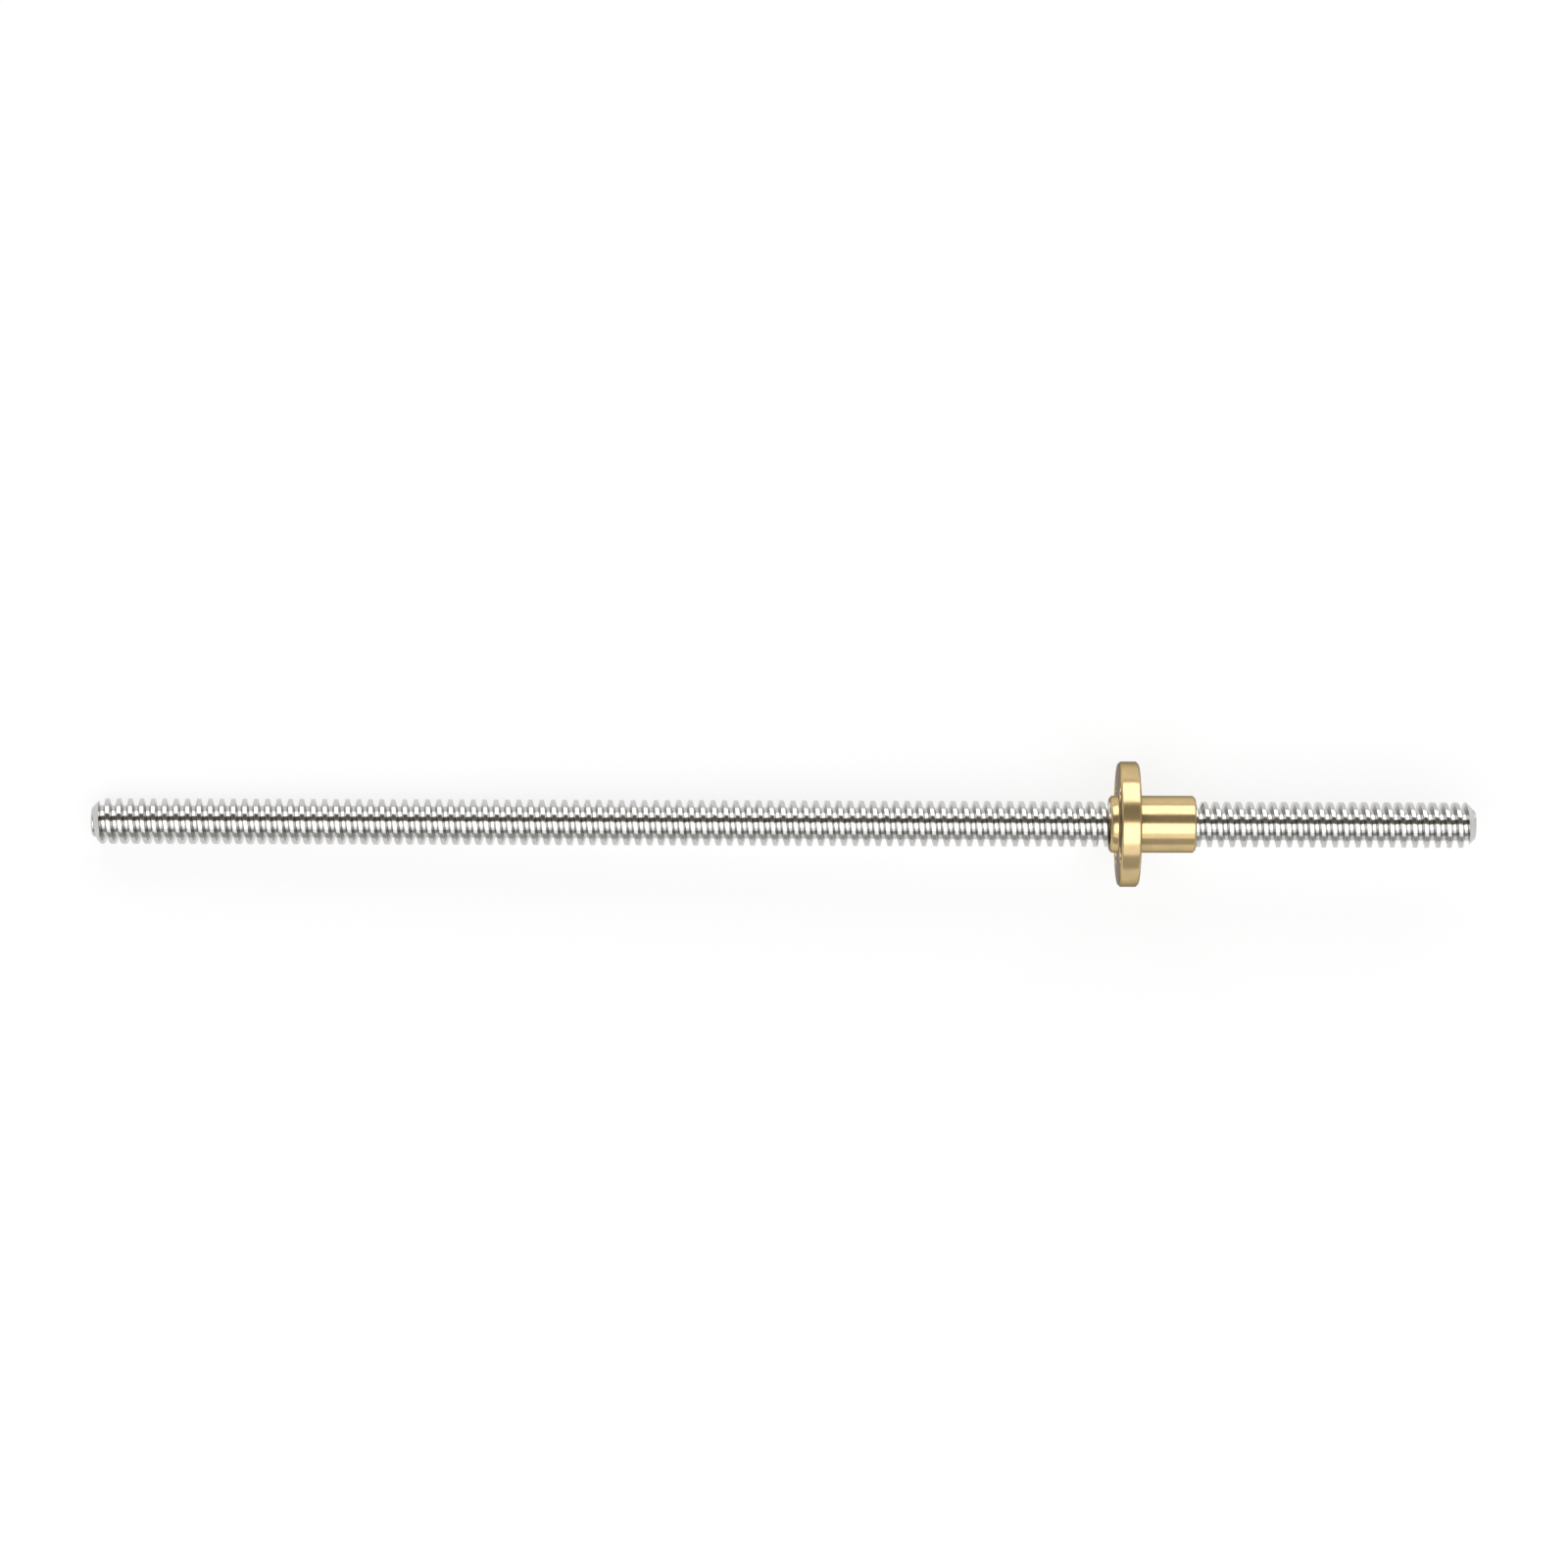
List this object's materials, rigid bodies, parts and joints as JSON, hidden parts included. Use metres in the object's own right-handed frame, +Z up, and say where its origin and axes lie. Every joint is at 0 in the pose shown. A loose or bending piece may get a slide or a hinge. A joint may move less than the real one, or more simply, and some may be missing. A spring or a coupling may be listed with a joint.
{
  "type": "trapezoidal lead screw",
  "caption": "Single-start trapezoidal lead screw with chamfered ends and a flanged brass nut that travels along it.",
  "frame": {"origin": "on the ground under the middle of the screw, as it lies at rest", "axes": "+X along the screw towards its nut end, +Z up; the screw's axis slopes up towards +X by 2.2 degrees, because the nut's flange holds it off the ground"},
  "size_m": [0.242, 0.022, 0.0221],
  "materials": {
    "steel": "rolled, bright",
    "brass": "turned, bright"
  },
  "bodies": {
    "screw": {"screw": "steel"},
    "nut": {"nut": "brass"}
  },
  "joints": [
    {"name": "nut_travel", "type": "slide", "parent": "screw", "child": "nut", "axis": [0.9992, 0, 0.0392], "range_m": [-0.176, 0.046]}
  ]
}
